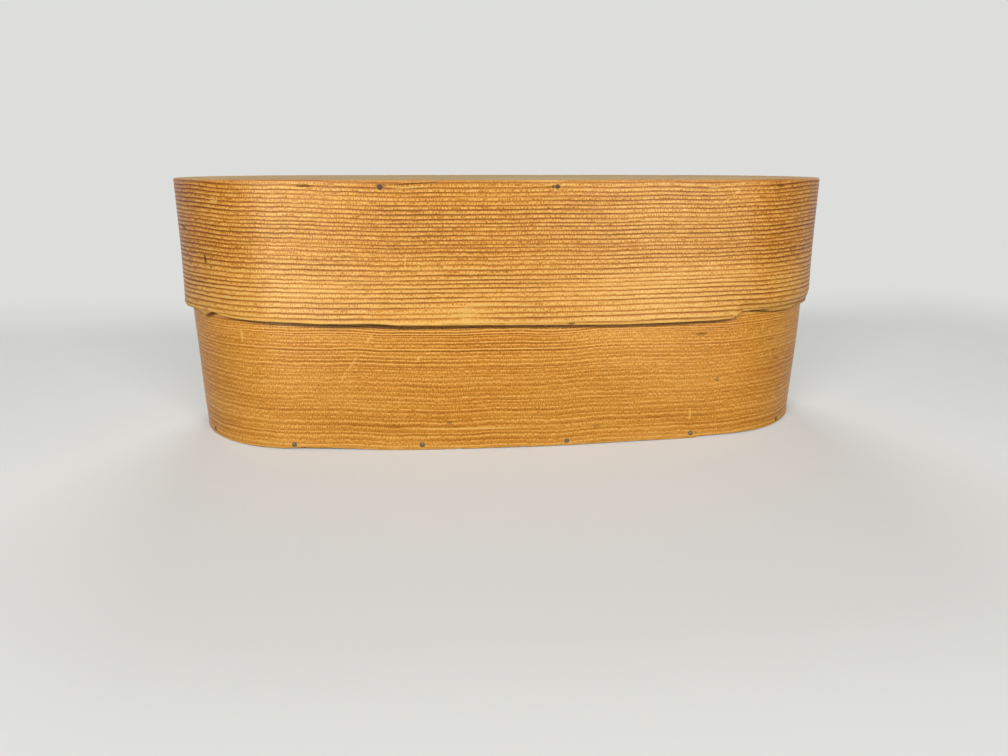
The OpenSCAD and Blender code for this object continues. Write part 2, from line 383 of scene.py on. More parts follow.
def even_noise(coords, scale, detail):
    return add_output("ShaderNodeTexNoise", {"Vector": coords, "Scale": scale, "Detail": detail})


def grain_noise(coords, along, across, detail=2.0):
    """Noise drawn out along the grain, in patches of about this length and width in millimetres."""
    scale = (1 / (along * mm), 1 / (across * mm), 1)
    drawn = add_output("ShaderNodeMapping", {"Vector": coords, "Scale": scale})
    return even_noise(drawn, 1.0, detail)


def ramp(value, start, end, low=0.0, high=1.0):
    """A value mapped smoothly from start..end to low..high."""
    inputs = {"Value": value, "From Min": start, "From Max": end, "To Min": low, "To Max": high}
    return add_output("ShaderNodeMapRange", inputs, interpolation_type="SMOOTHSTEP")


def spread(noise, low=0.0, high=1.0):
    """A noise mapped smoothly to low..high."""
    return ramp(noise, noise_low, noise_high, low, high)


def tint(factor, under, over):
    """One colour over another, by a factor."""
    return add_node("ShaderNodeMix", {0: factor, 6: under, 7: over}, data_type="RGBA").outputs[2]


def any_mark(coords, marks):
    """Strongest mark at each point. A mark is (run, height, half length, half height, turn, strength)."""
    strongest = 0.0
    for run, height, half_length, half_height, turn, strength in marks:
        place = add_output("ShaderNodeMapping", {
            "Vector": coords, "Location": (run * mm, height * mm, 0), "Rotation": (0, 0, math.radians(turn)),
            "Scale": (half_length * mm, half_height * mm, 1)}, vector_type="TEXTURE")
        mark = ramp(vector_length(place), mark_edge, mark_core, 0.0, strength)
        strongest = larger(strongest, mark)
    return strongest


def stops(value, colours):
    """A colour that changes with a value from 0 to 1. colours are (place, colour)."""
    node = add_node("ShaderNodeValToRGB", {"Fac": value})
    marks = node.color_ramp.elements
    for number, (place, colour) in enumerate(colours):
        mark = marks[number] if number < 2 else marks.new(place)
        mark.position, mark.color = place, colour
    return node.outputs["Color"]


def wood_tones(tone, tones):
    """The colour of wood at a tone, from the palest of its tones to the darkest."""
    return stops(tone, [(number / (len(tones) - 1), colour) for number, colour in enumerate(tones)])


def late_wood(ring, line):
    """How dark the wood is from one growth ring to the next. line is (share of the ring, darkness)."""
    greys = [(share, (dark, dark, dark, 1)) for share, dark in line]
    grey = stops(add_sum("FRACT", ring), greys)
    return add_output("ShaderNodeSeparateColor", {"Color": grey})


def new_finish(name):
    """A new material and its tree."""
    material = bpy.data.materials.new(name)
    material.use_nodes = True
    return material, material.node_tree


def set_surface(tree, colour, rough, relief, strength, depth):
    """Gives a finish its colour, its roughness and a fine relief, and returns its shader's inputs."""
    raised = add_output("ShaderNodeBump", {"Height": relief, "Strength": strength, "Distance": depth})
    shader = tree.nodes["Principled BSDF"].inputs
    tree.links.new(colour, shader["Base Color"])
    tree.links.new(rough, shader["Roughness"])
    tree.links.new(raised, shader["Normal"])
    return shader


def band_finish(name, line, tones, level, flecks, edges, bright, stain_and_shade, dark_marks, pale_marks, tacks, rust):
    """Old honey varnish over straight grain: growth rings, flecks, faint rays, rubbed edges and marks.
    line is the darkness across a ring, level the mean tone, flecks the strength of the flecks, fibres and
    patches and how far the dark lines hold them back, edges the colours of the foot's and the rim's edge, and
    rust how dark the wood is round its tacks."""
    worn_tone, rim_tone = edges
    fleck_swing, fibre_swing, patch_swing, fleck_hold = flecks
    material, tree = new_finish(name)
    coords, place = (add_output("ShaderNodeUVMap", tree=tree, uv_map=label) for label in ("grain", "place"))
    ring, strength, shade, worn, rim = (
        add_node("ShaderNodeAttribute", tree=tree, attribute_name=label).outputs["Fac"]
        for label in ("ring", "strength", "shade", "worn", "rim"))
    fleck = grain_noise(coords, along=0.7, across=1.8)
    fibre = grain_noise(coords, along=10, across=0.6, detail=3)
    patch = grain_noise(coords, along=7, across=3)
    mottle = grain_noise(coords, along=90, across=14, detail=3)

    stray = ramp(grain_noise(coords, along=30, across=6, detail=4), 0.25, 0.75, -ring_stray, ring_stray)
    dark = late_wood(plus(ring, stray), line)
    mean_dark = np.interp(np.linspace(0, 1, 101), *zip(*line)).mean()
    late = add_sum("SUBTRACT", dark, mean_dark)
    strength = times(strength, spread(mottle, 1.25, 0.75))
    tone = times_plus(times(late, strength), ring_depth, level)
    tone = plus(tone, ramp(mottle, 0.25, 0.75, 0.1, -0.1))
    # shade is a slow change of tone over the board that holds painted light and shade: painted highlights on
    # the body, painted light and painted shade on the lid
    tone = plus(tone, shade)
    speckle = 0.0
    for noise, swing in ((fleck, fleck_swing), (fibre, fibre_swing), (patch, patch_swing)):
        speckle = plus(speckle, spread(noise, swing, -swing))
    held_back = times_plus(dark, -fleck_hold, 1.0)
    tone = times_plus(speckle, held_back, tone)
    colour = wood_tones(tone, tones)

    ray = ramp(grain_noise(coords, along=1.1, across=9), 0.64, 0.8)
    in_places = ramp(grain_noise(coords, along=50, across=30), 0.5, 0.7, 0.0, 0.4)
    colour = tint(times(ray, in_places), colour, bright)
    frayed = times(worn, ramp(fibre, 0.35, 0.65, 0.45, 0.95))
    colour = tint(frayed, colour, worn_tone)
    colour = tint(times(rim, 0.5), colour, rim_tone)

    shaken = add_node("ShaderNodeTexNoise", {"Vector": place, "Scale": ragged_scale, "Detail": 2.0})
    jitter = add_vectors("ADD", shaken.outputs["Color"], (-0.5, -0.5, -0.5))
    ragged = add_vectors("ADD", place, scaled(jitter, ragged_reach))
    rubbed = any_mark(ragged, pale_marks + tuple((*spot, *tack_halo) for spot in tacks))
    # Dark marks and their colour: stains, rust round the tacks, and painted shade under the lid's mouth, in
    # its notch and down the tips of the laps
    grime_and_shade = any_mark(ragged, dark_marks + tuple((*spot, *tack_rust, rust) for spot in tacks))
    colour = tint(rubbed, colour, bright)
    colour = tint(grime_and_shade, colour, stain_and_shade)

    rough = spread(fleck, 0.22, 0.36)
    for wear, rise in ((worn, 0.25), (dark, 0.2), (grime_and_shade, 0.5)):
        rough = times_plus(wear, rise, rough)
    shader = set_surface(tree, colour, rough, fibre, strength=0.8, depth=0.2 * mm)
    shader["Specular IOR Level"].default_value = 0.3
    shader["Specular Tint"].default_value = paint(255, 236, 190)
    return material


def bare_finish(name, deep, pale, line):
    """Bare softwood, greyed and dry: the inner faces of the bands."""
    material, tree = new_finish(name)
    coords = add_output("ShaderNodeUVMap", tree=tree, uv_map="grain")
    streak = grain_noise(coords, along=150, across=1.6, detail=3)
    fibre = grain_noise(coords, along=6, across=0.5, detail=3)
    colour = tint(spread(grain_noise(coords, along=200, across=20, detail=3)), deep, pale)
    colour = tint(ramp(streak, 0.52, 0.7, 0.0, 0.7), colour, line)
    colour = tint(ramp(fibre, 0.5, 0.75, 0.0, 0.35), colour, pale)
    set_surface(tree, colour, spread(fibre, 0.7, 0.9), streak, strength=0.5, depth=0.3 * mm)
    return material


def tack_spots(node):
    """Top of each tack's head in a node of tacks, with the way that it points out, from left to right."""
    solids = bmesh.new()
    solids.from_mesh(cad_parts[node].data)
    bmesh.ops.remove_doubles(solids, verts=solids.verts, dist=solid_weld)
    left = set(solids.verts)
    spots = []
    while left:
        reached = [left.pop()]
        for vertex in reached:
            for edge in vertex.link_edges:
                other = edge.other_vert(vertex)
                if other in left:
                    left.remove(other)
                    reached.append(other)
        places = np.array([vertex.co for vertex in reached])
        middle = (places.min(axis=0) + places.max(axis=0)) / 2
        axis = np.linalg.svd(places - places.mean(axis=0), full_matrices=False)[2][0]
        axis = axis if axis[:2] @ middle[:2] > 0 else -axis
        reach = (places - middle) @ axis
        spots.append((middle + axis * reach.max(), axis))
    solids.free()
    return sorted(spots, key=lambda spot: tuple(spot[0].round(4)))


def tack_runs(node, points, length):
    """Run along an outline and height of each tack in a node, in millimetres."""
    runs = np.linspace(-length / 2, length / 2, len(points), endpoint=False)
    found = []
    for place, axis in tack_spots(node):
        nearest = np.argmin(np.linalg.norm(points - place[:2], axis=1))
        found.append((runs[nearest] / mm, place[2] / mm))
    return found


def band_runs(length, side_step, end_step, fine):
    """Places of a board's columns: wide on the long sides, close on the round ends, closest at the laps and
    at fine spots, which are (run, reach to each side, step)."""
    half, lap = length / 2 + lap_length / 2, length / 2 - lap_length / 2
    end_start, end_stop = 0.125 * length, 0.375 * length
    stretches = [np.arange(-half, half, side_step)]
    stretches += [side * np.arange(end_start, end_stop, end_step) for side in (-1, 1)]
    laps = ((-lap, 0.4 * mm, 0.1 * mm), (lap, 0.4 * mm, 0.1 * mm), (-half, 2 * mm, 0.25 * mm))
    for spot, reach, step in (*laps, *fine):
        stretches.append(np.arange(spot - reach, spot + reach, step))
    runs = np.sort(np.concatenate(stretches + [[-half, half]]))
    runs = runs[(runs >= -half) & (runs <= half)]
    kept = [runs[0]]
    for run in runs[1:-1]:
        if run - kept[-1] > least_column:
            kept.append(run)
    return np.array(kept + [runs[-1]])


def lap_seam(length, middle, half_height):
    """Dark marks down the tip of a band's lap, one on each of the two ends that meet there: painted shade in
    the corner of the step, with some dirt.
    """
    tips = (length / 2 - lap_length / 2, -length / 2 - lap_length / 2)
    return tuple((run / mm, middle, seam_half_width, half_height, 0, seam_dark) for run in tips)


body_low, body_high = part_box("body_band")
body_outline = oval_points(body_high.x, body_high.y)
body_length = outline_length(body_outline)
bend_round_form = bending_tree()

# Height of the foot's edge by run: a lifted lens left of the middle, two nicks, and the worn right end
body_foot = (
    (-420, 0), (-240, 0.1), (-190, 0.5), (-162, 0.9), (-152, 1.7), (-130, 1.5), (-110, 0.9), (-98, 0.2),
    (-77, 0), (-45, 0.2), (-42, 0.9), (-39, 0.3), (-10, 0.6), (1, 0.6), (3, 1.2), (6, 0.5), (32, 0.5),
    (85, 0.8), (105, 0.4), (122, 0), (131, 0), (133, 0.9), (141, 1.1), (171, 1.1), (198, 0.7), (219, 0.9),
    (300, 1.2), (312, 0), (420, 0))
body_widths = ((0, 3.0), (50, 3.0), (62, 2.4), (72, 2.1), (92, 2.0), (174, 2.6))
body_ring_rows = ((0, 1), (0.35, 0.4), (0.7, 0))
# Darkness of the body's wood from one ring up to the next: it fades upwards to a narrow bright crest
body_line = ((0, 1), (0.18, 0.75), (0.45, 0.5), (0.58, 0.1), (0.68, 0), (0.8, 0.35), (0.93, 0.9), (1, 1))
# How far the body's grain rises, by run
body_swings = (
    (-420, 0), (-150, 0), (-117, 0.3), (-83, -1.1), (-48, -2), (-12, -1.3), (22, -2.2), (59, -0.6), (96, -1),
    (134, -1.9), (178, -0.2), (240, 0), (420, 0))


def body_wander(run, height):
    """How far the body's grain rises and falls along the board, with a kink right of the middle."""
    waves = ((310, 0.3), (140, 0.25), (61, 0.2), (27, 0.1))
    kink = bump(run, -6, 8) * bump(height, 42, 28)
    return eased(run, body_swings) + sway(run, height, waves, 11) - 0.7 * mm * kink


def body_contrast(run, height):
    """How strongly the body's growth rings show: most below the lid, left of the middle."""
    upper = smooth_step((height - 58 * mm) / (12 * mm))
    middle = bump(run, -55, 100)
    return 0.66 + 0.16 * middle + upper * (0.1 + 0.75 * middle)


def body_shade(run, height):
    """How much darker the body's wood is: painted highlights make it a little paler towards both ends of the
    front.
    """
    ends = -0.07 * bump(run, -175, 32) - 0.05 * bump(run, 78, 45)
    return ends * np.ones_like(height)


def body_lean(run, height):
    """How far the body's wall stands out: it draws in to the foot and is a little uneven all over."""
    share = np.clip((draw_high - height) / (draw_high - draw_low), 0, 1)
    return -body_draw * share ** 2 + sway(run, height, ((210, 0.12), (90, 0.06)), 12)


body_fine = (
    (-42 * mm, 4 * mm, 1 * mm), (3 * mm, 4 * mm, 1 * mm), (132 * mm, 2 * mm, 0.5 * mm))
body_runs = band_runs(body_length, side_step=7 * mm, end_step=5 * mm, fine=body_fine)
body_rows = ring_rows(
    body_low.z, body_high.z, body_widths, uneven=0.45, strengths=(0.35, 1.35), rows=body_ring_rows, seed=21)
body_edges = (between(body_runs, body_foot) * mm, np.full(len(body_runs), body_high.z))
body_band = flat_board(
    "body_band_wood", body_runs, body_rows, body_edges, (body_round, body_round), body_wall, body_groove,
    np.zeros(len(body_runs)), (body_lean, body_wander, body_contrast, body_shade), body_length)

body_tones = (
    paint(246, 186, 94), paint(224, 154, 58), paint(205, 132, 40), paint(178, 104, 20), paint(134, 68, 5))
# Marks: run, height, half length and half height in millimetres, turn in degrees, and strength
# The last four dark marks are painted shade: a painted shadow in the notch of the lid's mouth, and a line of
# painted shade on the body just under the lid's mouth
body_dark_marks = (
    (129, 77.7, 5.5, 1.7, 3, 0.45), (144, 44, 2.2, 2.2, 0, 0.45), (56, 14, 4, 1.6, 0, 0.3),
    (-48, 20, 3, 2, 0, 0.35), (188, 70, 5, 0.8, 4, 0.45), (192, 62, 4, 0.8, 6, 0.4),
    (197, 55, 5, 0.8, 5, 0.35), (-218, 91.6, 10, 2.4, 14, 0.45), (-40, 89.1, 200, 1.6, -0.95, 0.3),
    (75, 87.2, 80, 1.6, -0.95, 0.3), (-108, 89.7, 62, 2.6, -0.95, 0.4))
body_pale_marks = (
    (-36, 15.5, 56, 0.9, -0.5, 0.85), (125, 19, 1, 6, 0, 0.7), (-100, 80, 5, 0.9, 55, 0.7),
    (-112, 63, 8, 1, 57, 0.5), (-119, 53, 5, 0.9, 60, 0.5), (-188, 81, 1.3, 6, 0, 0.7),
    (-68, 66, 1.5, 1.5, 0, 0.8), (163, 79, 0.8, 5, 15, 0.5), (170, 75, 0.8, 4, -10, 0.45),
    (178, 80, 0.7, 5, 0, 0.5), (186, 76, 0.8, 4, 12, 0.5), (194, 68, 0.8, 5, -8, 0.5),
    (200, 62, 0.8, 4, 10, 0.45), (190, 58, 0.8, 4, 0, 0.4))
body_tack_places = tack_runs("bottom_tacks", body_outline, body_length)
body_tack_places += tack_runs("body_lap_tacks", body_outline, body_length)
body_finish = band_finish(
    "body_varnish", body_line, body_tones, level=0.4, flecks=(0.34, 0.1, 0.06, 0.4),
    edges=(paint(230, 168, 76), paint(190, 122, 44)), bright=paint(244, 190, 96), stain_and_shade=paint(42, 18, 5),
    dark_marks=body_dark_marks + lap_seam(body_length, middle=87, half_height=130),
    pale_marks=body_pale_marks, tacks=body_tack_places, rust=0.85)
body_inside = bare_finish("body_bare_wood", paint(178, 140, 92), paint(205, 172, 124), paint(150, 110, 66))
bend_band(body_band, body_outline, body_finish, body_inside)
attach(body_band, "box")
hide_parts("body_band")

# Bottom board
# An oval of thin softwood board let into the foot of the body band, flush with its edge.
# It is bare and dry, sawn flat so that its grain runs in long loops, and held by the tacks round the foot.

board_edge = 0.6 * mm  # radius of a board's rubbed corners
board_step = 6 * mm  # spacing of the points round a board
board_ring = 3.4 * mm  # width of a board's growth rings
pith_slope = 0.11  # how steeply the heart of the log runs down from the board, along it
pith_depth = 28 * mm  # how deep the heart lies below the middle of the board
pith_bend = 50 * mm  # how far the heart bends
pith_side = 12 * mm  # how far the heart lies to one side


def ring_faces(rings, around):
    """Faces from each ring of points to the next and over the last one, and the corners of the first."""
    index = np.arange(rings * around).reshape(rings, around)
    ahead = np.roll(index, -1, axis=1)
    quads = np.stack([index[:-1], ahead[:-1], ahead[1:], index[1:]], axis=-1).reshape(-1, 4)
    return quads.tolist() + [index[-1].tolist()], index[0].tolist()


def oval_board(name, node, cup):
    """An oval board in the place of a node, with rubbed corners and a faint hollow in its upper face."""
    low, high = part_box(node)
    outline = oval_points(high.x, high.y)[:: round(board_step / form_step)]
    turn = np.radians((0, 30, 60, 90))
    drop, inset = board_edge * (1 - np.sin(turn)), board_edge * (1 - np.cos(turn))
    corner = list(zip(1 - inset / high.y, drop))
    shrink = np.array((0.97, 0.9, 0.8, 0.65, 0.5, 0.34, 0.18, 0.06))
    rings = [(share, low.z) for share in shrink[::-1]]
    rings += [(share, low.z + rise) for share, rise in corner[::-1]]
    rings += [(share, high.z - fall) for share, fall in corner]
    rings += [(share, high.z - cup * (1 - share ** 2)) for share in shrink]
    places = [(*(point * share), height) for share, height in rings for point in outline]
    faces, first = ring_faces(len(rings), len(outline))
    piece = new_piece(name, places, faces + [first[::-1]])
    piece.data.shade_smooth()
    return piece


def board_finish(name, deep, pale, line, dullness):
    """Flat-sawn softwood: growth rings of a log cut lengthwise, so that they run in long loops."""
    material, tree = new_finish(name)
    coords = add_node("ShaderNodeTexCoord", tree=tree).outputs["Object"]
    axes = axes_of(coords)
    drawn = add_output("ShaderNodeMapping", {"Vector": coords, "Scale": (3, 9, 9)})
    pith = plus(times(axes["X"], pith_slope), pith_depth)
    bent = times(even_noise(drawn, 1.0, 2.0), pith_bend)
    pith = plus(pith, bent)
    side = plus(axes["Y"], pith_side)
    from_pith = vector_length(combined(X=pith, Y=side))
    ring = add_sum("FRACT", add_sum("DIVIDE", from_pith, board_ring))
    late = times(ramp(ring, 0.35, 0.93), ramp(ring, 1.0, 0.93))
    fibre = grain_noise(coords, along=8, across=0.7, detail=3)
    mottle = grain_noise(coords, along=120, across=30, detail=3)
    colour = tint(spread(mottle), deep, pale)
    colour = tint(times(late, 0.6), colour, line)
    colour = tint(ramp(fibre, 0.5, 0.75, 0.0, 0.4), colour, pale)
    rough = spread(fibre, dullness, dullness + 0.15)
    shader = set_surface(tree, colour, rough, fibre, strength=0.4, depth=0.2 * mm)
    shader["Specular IOR Level"].default_value = 0.35
    return material


bottom_board = oval_board("bottom_board_wood", "bottom_board", cup=0.3 * mm)
bottom_finish = board_finish(
    "bottom_bare_wood", paint(172, 132, 84), paint(200, 164, 114), paint(140, 98, 56), dullness=0.7)
bottom_board.data.materials.append(bottom_finish)
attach(bottom_board, "box")
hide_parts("bottom_board")

# Bottom tacks
# Small iron tacks driven through the foot of the band into the edge of the bottom board.
# Their round heads are hammered in nearly flush, and have gone grey and brown.

tack_sides = 14
tack_tilt = math.radians(4)
head_depth = 0.9  # from the top of a head to its underside, in millimetres
head_gap = 0.05  # from there to the straight part of the shank
head_uneven = 0.05  # share by which a tack strays from round
shank_radius = 0.7
sunk_depth = 0.8 * mm  # how far below the others a tack lies that the wood has closed over
rust_scale, pit_scale = 700.0, 2600.0
# Half section of a head, from its top down: radius and height
head_section = ((0.5, 0.0), (1.0, -0.06), (1.5, -0.2), (1.8, -0.42), (1.9, -0.6), (1.75, -0.86), (0.75, -0.9))
# Lengths of a tack's shank and of the point at its end, in millimetres
board_tack, lap_tack = (12, 2.5), (2.5, 0)


def tack_shape(shank, point):
    """One tack, standing head up with the top of its head at the origin."""
    tip = -head_depth - shank
    section = [(shank_radius, tip + point), (shank_radius, -head_depth - head_gap), *head_section[::-1]]
    random = np.random.default_rng(5)
    angles = np.linspace(0, 2 * math.pi, tack_sides, endpoint=False)
    uneven = 1 + random.uniform(-head_uneven, head_uneven, tack_sides)
    places = [
        (radius * swell * math.cos(angle) * mm, radius * swell * math.sin(angle) * mm, height * mm)
        for radius, height in section for angle, swell in zip(angles, uneven)]
    faces, first = ring_faces(len(section), tack_sides)
    if point:
        faces += [(len(places), ahead, corner) for corner, ahead in zip(first, first[1:] + first[:1])]
        places.append((0, 0, tip * mm))
    else:
        faces.append(first[::-1])
    return new_piece("tack_shape", places, faces)


def tacking_tree():
    """Drives a tack in at each point, turned and tilted a little at random."""
    tree, given, result = geometry_tree(
        "drive_tacks", {"Tack": "Object", "Tilt": "Float", "Seed": "Int", "Iron": "Material"})
    tack = add_node("GeometryNodeObjectInfo", {"Object": given["Tack"]}).outputs["Geometry"]
    outward = add_output(
        "GeometryNodeInputNamedAttribute", {"Name": "outward"}, tree, data_type="FLOAT_VECTOR")
    facing = add_output("FunctionNodeAlignRotationToVector", {"Vector": outward}, axis="Z")
    tilt = given["Tilt"]
    tilt_back = times(tilt, -1.0)
    lowest = combined(X=tilt_back, Y=tilt_back)
    highest = combined(X=tilt, Y=tilt, Z=2 * math.pi)
    turn = add_output("FunctionNodeRandomValue", {
        0: lowest, 1: highest, "Seed": given["Seed"]}, data_type="FLOAT_VECTOR")
    turn = add_output("FunctionNodeEulerToRotation", {"Euler": turn})
    turned = add_output("FunctionNodeRotateRotation", {
        "Rotation": facing, "Rotate By": turn}, rotation_space="LOCAL")
    tacks = add_output("GeometryNodeInstanceOnPoints", {
        "Points": given["Geometry"], "Instance": tack, "Rotation": turned})
    tacks = add_output("GeometryNodeRealizeInstances", {"Geometry": tacks})
    tacks = add_output("GeometryNodeSetMaterial", {"Geometry": tacks, "Material": given["Iron"]})
    tree.links.new(tacks, result["Geometry"])
    return tree


def iron_finish(name, iron, brown, pit):
    """Old tack iron: dull and rubbed in places, rusty brown in others."""
    material, tree = new_finish(name)
    coords = add_node("ShaderNodeTexCoord", tree=tree).outputs["Object"]
    rust = even_noise(coords, rust_scale, 4.0)
    pits = even_noise(coords, pit_scale, 3.0)
    colour = tint(ramp(rust, 0.42, 0.62), iron, brown)
    colour = tint(ramp(pits, 0.55, 0.7, 0.0, 0.6), colour, pit)
    shader = set_surface(tree, colour, spread(pits, 0.55, 0.8), pits, strength=0.6, depth=0.2 * mm)
    tree.links.new(ramp(rust, 0.42, 0.62, 0.75, 0.2), shader["Metallic"])
    return material


def tack_group(name, node, body, tack, seed, iron, sunk=()):
    """The tacks of one node, each in the place of its solid. Those numbered in sunk are driven in deeper."""
    spots = tack_spots(node)
    heads = [place - axis * sunk_depth * (number in sunk) for number, (place, axis) in enumerate(spots)]
    piece = new_piece(name, heads, [])
    outward = np.array([axis for place, axis in spots], np.float32).ravel()
    piece.data.attributes.new("outward", "FLOAT_VECTOR", "POINT").data.foreach_set("vector", outward)
    shape = tack_shape(*tack)
    make_mesh(piece, drive_tacks, {"Tack": shape, "Tilt": tack_tilt, "Seed": seed, "Iron": iron})
    bpy.data.objects.remove(shape)
    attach(piece, body)
    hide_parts(node)


drive_tacks = tacking_tree()
grey_iron = iron_finish("grey_tack_iron", paint(104, 98, 84), paint(76, 60, 42), paint(48, 40, 32))
tack_group("bottom_tack_iron", "bottom_tacks", "box", board_tack, seed=31, iron=grey_iron)

# Body lap tacks
# A column of tacks near the tip of the body's lap. They pass through both ends of the band
# and are cut off and clenched flush inside.

tack_group("body_lap_tack_iron", "body_lap_tacks", "box", lap_tack, seed=32, iron=grey_iron)

# Lid band
# The wall of the lid, a second bent band that slips over the body. Its grain is straight and coarse, with
# a furrow at every ring. It spreads a little at the mouth, and a strip of the mouth is broken off at the
# right end.

lid_wall = 3.2 * mm
lid_rim_round = 1.3 * mm
lid_mouth_round = 0.8 * mm
board_clearance = 0.1 * mm
lid_groove = 0.16 * mm  # depth of the furrow at each growth ring
lid_flare = 1.5 * mm  # how far the wall spreads at the mouth
mouth_height = 89 * mm  # height of the mouth at the middle of the box
flare_height = 60 * mm  # height over which the wall spreads, above the mouth
mouth_slant = 8 * mm  # how much lower the mouth hangs at the right end than at the left
sunk_reach = 8  # how near to a named run a sunk tack lies, in millimetres

lid_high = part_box("lid_band")[1]
lid_board_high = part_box("lid_board")[1]
lid_half_width = lid_board_high.y + board_clearance + lid_wall
lid_half_length = lid_half_width + body_high.x - body_high.y
lid_outline = oval_points(lid_half_length, lid_half_width)
lid_length = outline_length(lid_outline)

# How far the mouth's edge lies above its even slant, by run: a notch at the left, a break at the right end
lid_breaks = (
    (-420, 0), (-260, 1.6), (-237, 1.9), (-228, 1.3), (-224, 0.7), (-220.5, 0), (-218, 0.8), (-215, 1.8),
    (-211.5, 2.4), (-208.5, 2.2), (-205.5, 1.4), (-202.5, 0.7), (-198, 0.4), (-190, 0.2), (-168, 0.1),
    (-150, 0.1), (-131, -0.4), (-112, 0.1), (-100, 0.5), (-92, 0.4), (-80, -0.5), (-55, -0.3), (-20, 0),
    (30, 0), (70, -0.2), (113, 0.6), (140, 1.3), (150, 1.9), (152, 3.4), (153, 2.6), (155, 5.2), (156, 4.6),
    (158, 6.7), (164, 6.9), (181, 5.8), (193, 5.4), (201, 5.4), (210, 6.2), (217, 6.6), (298, 6.5),
    (312, 0.6), (320, 0), (420, 0))
# How far the mouth stands out beyond its even spread, by run: it hugs the body at both round ends
lid_bulges = (
    (-420, 0), (-250, 0), (-226, -1.9), (-204, -1.9), (-186, -0.9), (-160, 0.5), (-128, 1.5), (-96, 2.0),
    (-70, 1.1), (-40, 0.2), (40, -0.1), (110, -0.2), (140, -0.8), (152, -1.2), (170, -1.2), (195, -0.8),
    (240, 0), (420, 0))
# How far the face is torn away at the mouth, by run
lid_splits = ((-420, 0), (153, 0), (158, 2.0), (290, 2.0), (305, 0), (420, 0))
# How far the lid's grain rises near its rim, by run
lid_swings = (
    (-420, 1.5), (-225, 2.3), (-180, 0), (-150, -0.4), (-113, -1.4), (-80, -2), (-45, -1.8), (-11, -2.1),
    (23, -1.8), (57, -2.1), (92, -1.3), (127, -2), (165, -1.2), (225, 1.2), (420, 1.5))
# Painted light: how much paler the lid's wood is painted towards its mouth, by run, for the light that the
# spreading lower wall catches and for the highlights
lid_painted_light = (
    (-420, 0.14), (-230, 0.14), (-195, 0.2), (-150, 0.18), (-120, 0.13), (-60, 0.18), (-30, 0.21),
    (-8, 0.14), (15, 0.11), (35, 0.12), (60, 0.22), (130, 0.24), (170, 0.14), (420, 0.14))
lid_widths = ((85, 3.8), (100, 3.7), (112, 3.1), (130, 3.0), (140, 2.65), (160, 2.45), (168, 2.7), (182, 2.9))
lid_ring_rows = ((0, 1), (0.1, 0.7), (0.22, 0.1), (0.5, 0), (0.85, 0.3))
# Darkness of the lid's wood from one ring up to the next: a thin dark line, then pale wood that browns
lid_line = ((0, 1), (0.08, 0.65), (0.18, 0.1), (0.3, 0), (0.5, 0.16), (0.7, 0.38), (0.86, 0.78), (1, 1))


def lid_wander(run, height):
    """The lid's grain dips along the front, most near the rim, with a fine ripple towards its left end."""
    upper = 0.15 + 0.85 * smooth_step((height - 105 * mm) / (50 * mm))
    ripple = sway(run, height, ((19, 0.12), (8, 0.08)), 15) * bump(run, -155, 35)
    slow = sway(run, height, ((170, 0.2), (60, 0.05)), 14)
    return upper * eased(run, lid_swings) + slow + ripple


def lid_lean(run, height):
    """How far the lid's wall stands out: it spreads to the mouth and is a little uneven all over."""
    share = np.clip((mouth_height + flare_height - height) / flare_height, 0, None)
    spread_out = lid_flare + between(run, lid_bulges) * mm
    return spread_out * share ** 2 + sway(run, height, ((230, 0.12), (100, 0.06)), 16)


def lid_lower(height):
    """1 in the lower part of the lid, easing to 0 in its upper part."""
    return smooth_step((140 * mm - height) / (30 * mm))


def lid_contrast(run, height):
    """The lid's growth rings show most towards its mouth."""
    return 1.1 + 0.3 * lid_lower(height) * np.ones_like(run)


def lid_shade(run, height):
    """How much darker the lid's wood is: paler towards the mouth by painted light, browner at both ends, and
    darker at the far tips by painted shade.
    """
    lower = lid_lower(height)
    ends = smooth_step((abs(run + 12 * mm) - 150 * mm) / (60 * mm))
    # Painted shade: the round ends are darker towards their far sides, where the wall turns away from the
    # lights
    tips = smooth_step((abs(run) - 205 * mm) / (40 * mm)) * np.where(run > 0, 0.2, 0.12)
    return 0.04 + 0.08 * ends * (1 - lower) + tips - lower * between(run, lid_painted_light)


lid_fine = (
    (-213 * mm, 10 * mm, 1 * mm), (155 * mm, 6 * mm, 0.5 * mm), (305 * mm, 8 * mm, 1 * mm))
lid_runs = band_runs(lid_length, side_step=5 * mm, end_step=4.5 * mm, fine=lid_fine)
outline_runs = np.linspace(-lid_length / 2, lid_length / 2, len(lid_outline), endpoint=False)
lid_x = np.interp(lid_runs, outline_runs, lid_outline[:, 0], period=lid_length)
lid_edge = mouth_height - mouth_slant * lid_x / (2 * lid_half_length)
lid_edge = lid_edge + between(lid_runs, lid_breaks) * mm
lid_edges = (lid_edge, np.full(len(lid_runs), lid_high.z))
lid_rows = ring_rows(
    lid_edge.min(), lid_high.z, lid_widths, uneven=0.22, strengths=(0.65, 1.1), rows=lid_ring_rows, seed=22)
lid_band = flat_board(
    "lid_band_wood", lid_runs, lid_rows, lid_edges, (lid_mouth_round, lid_rim_round), lid_wall, lid_groove,
    between(lid_runs, lid_splits) * mm, (lid_lean, lid_wander, lid_contrast, lid_shade), lid_length)

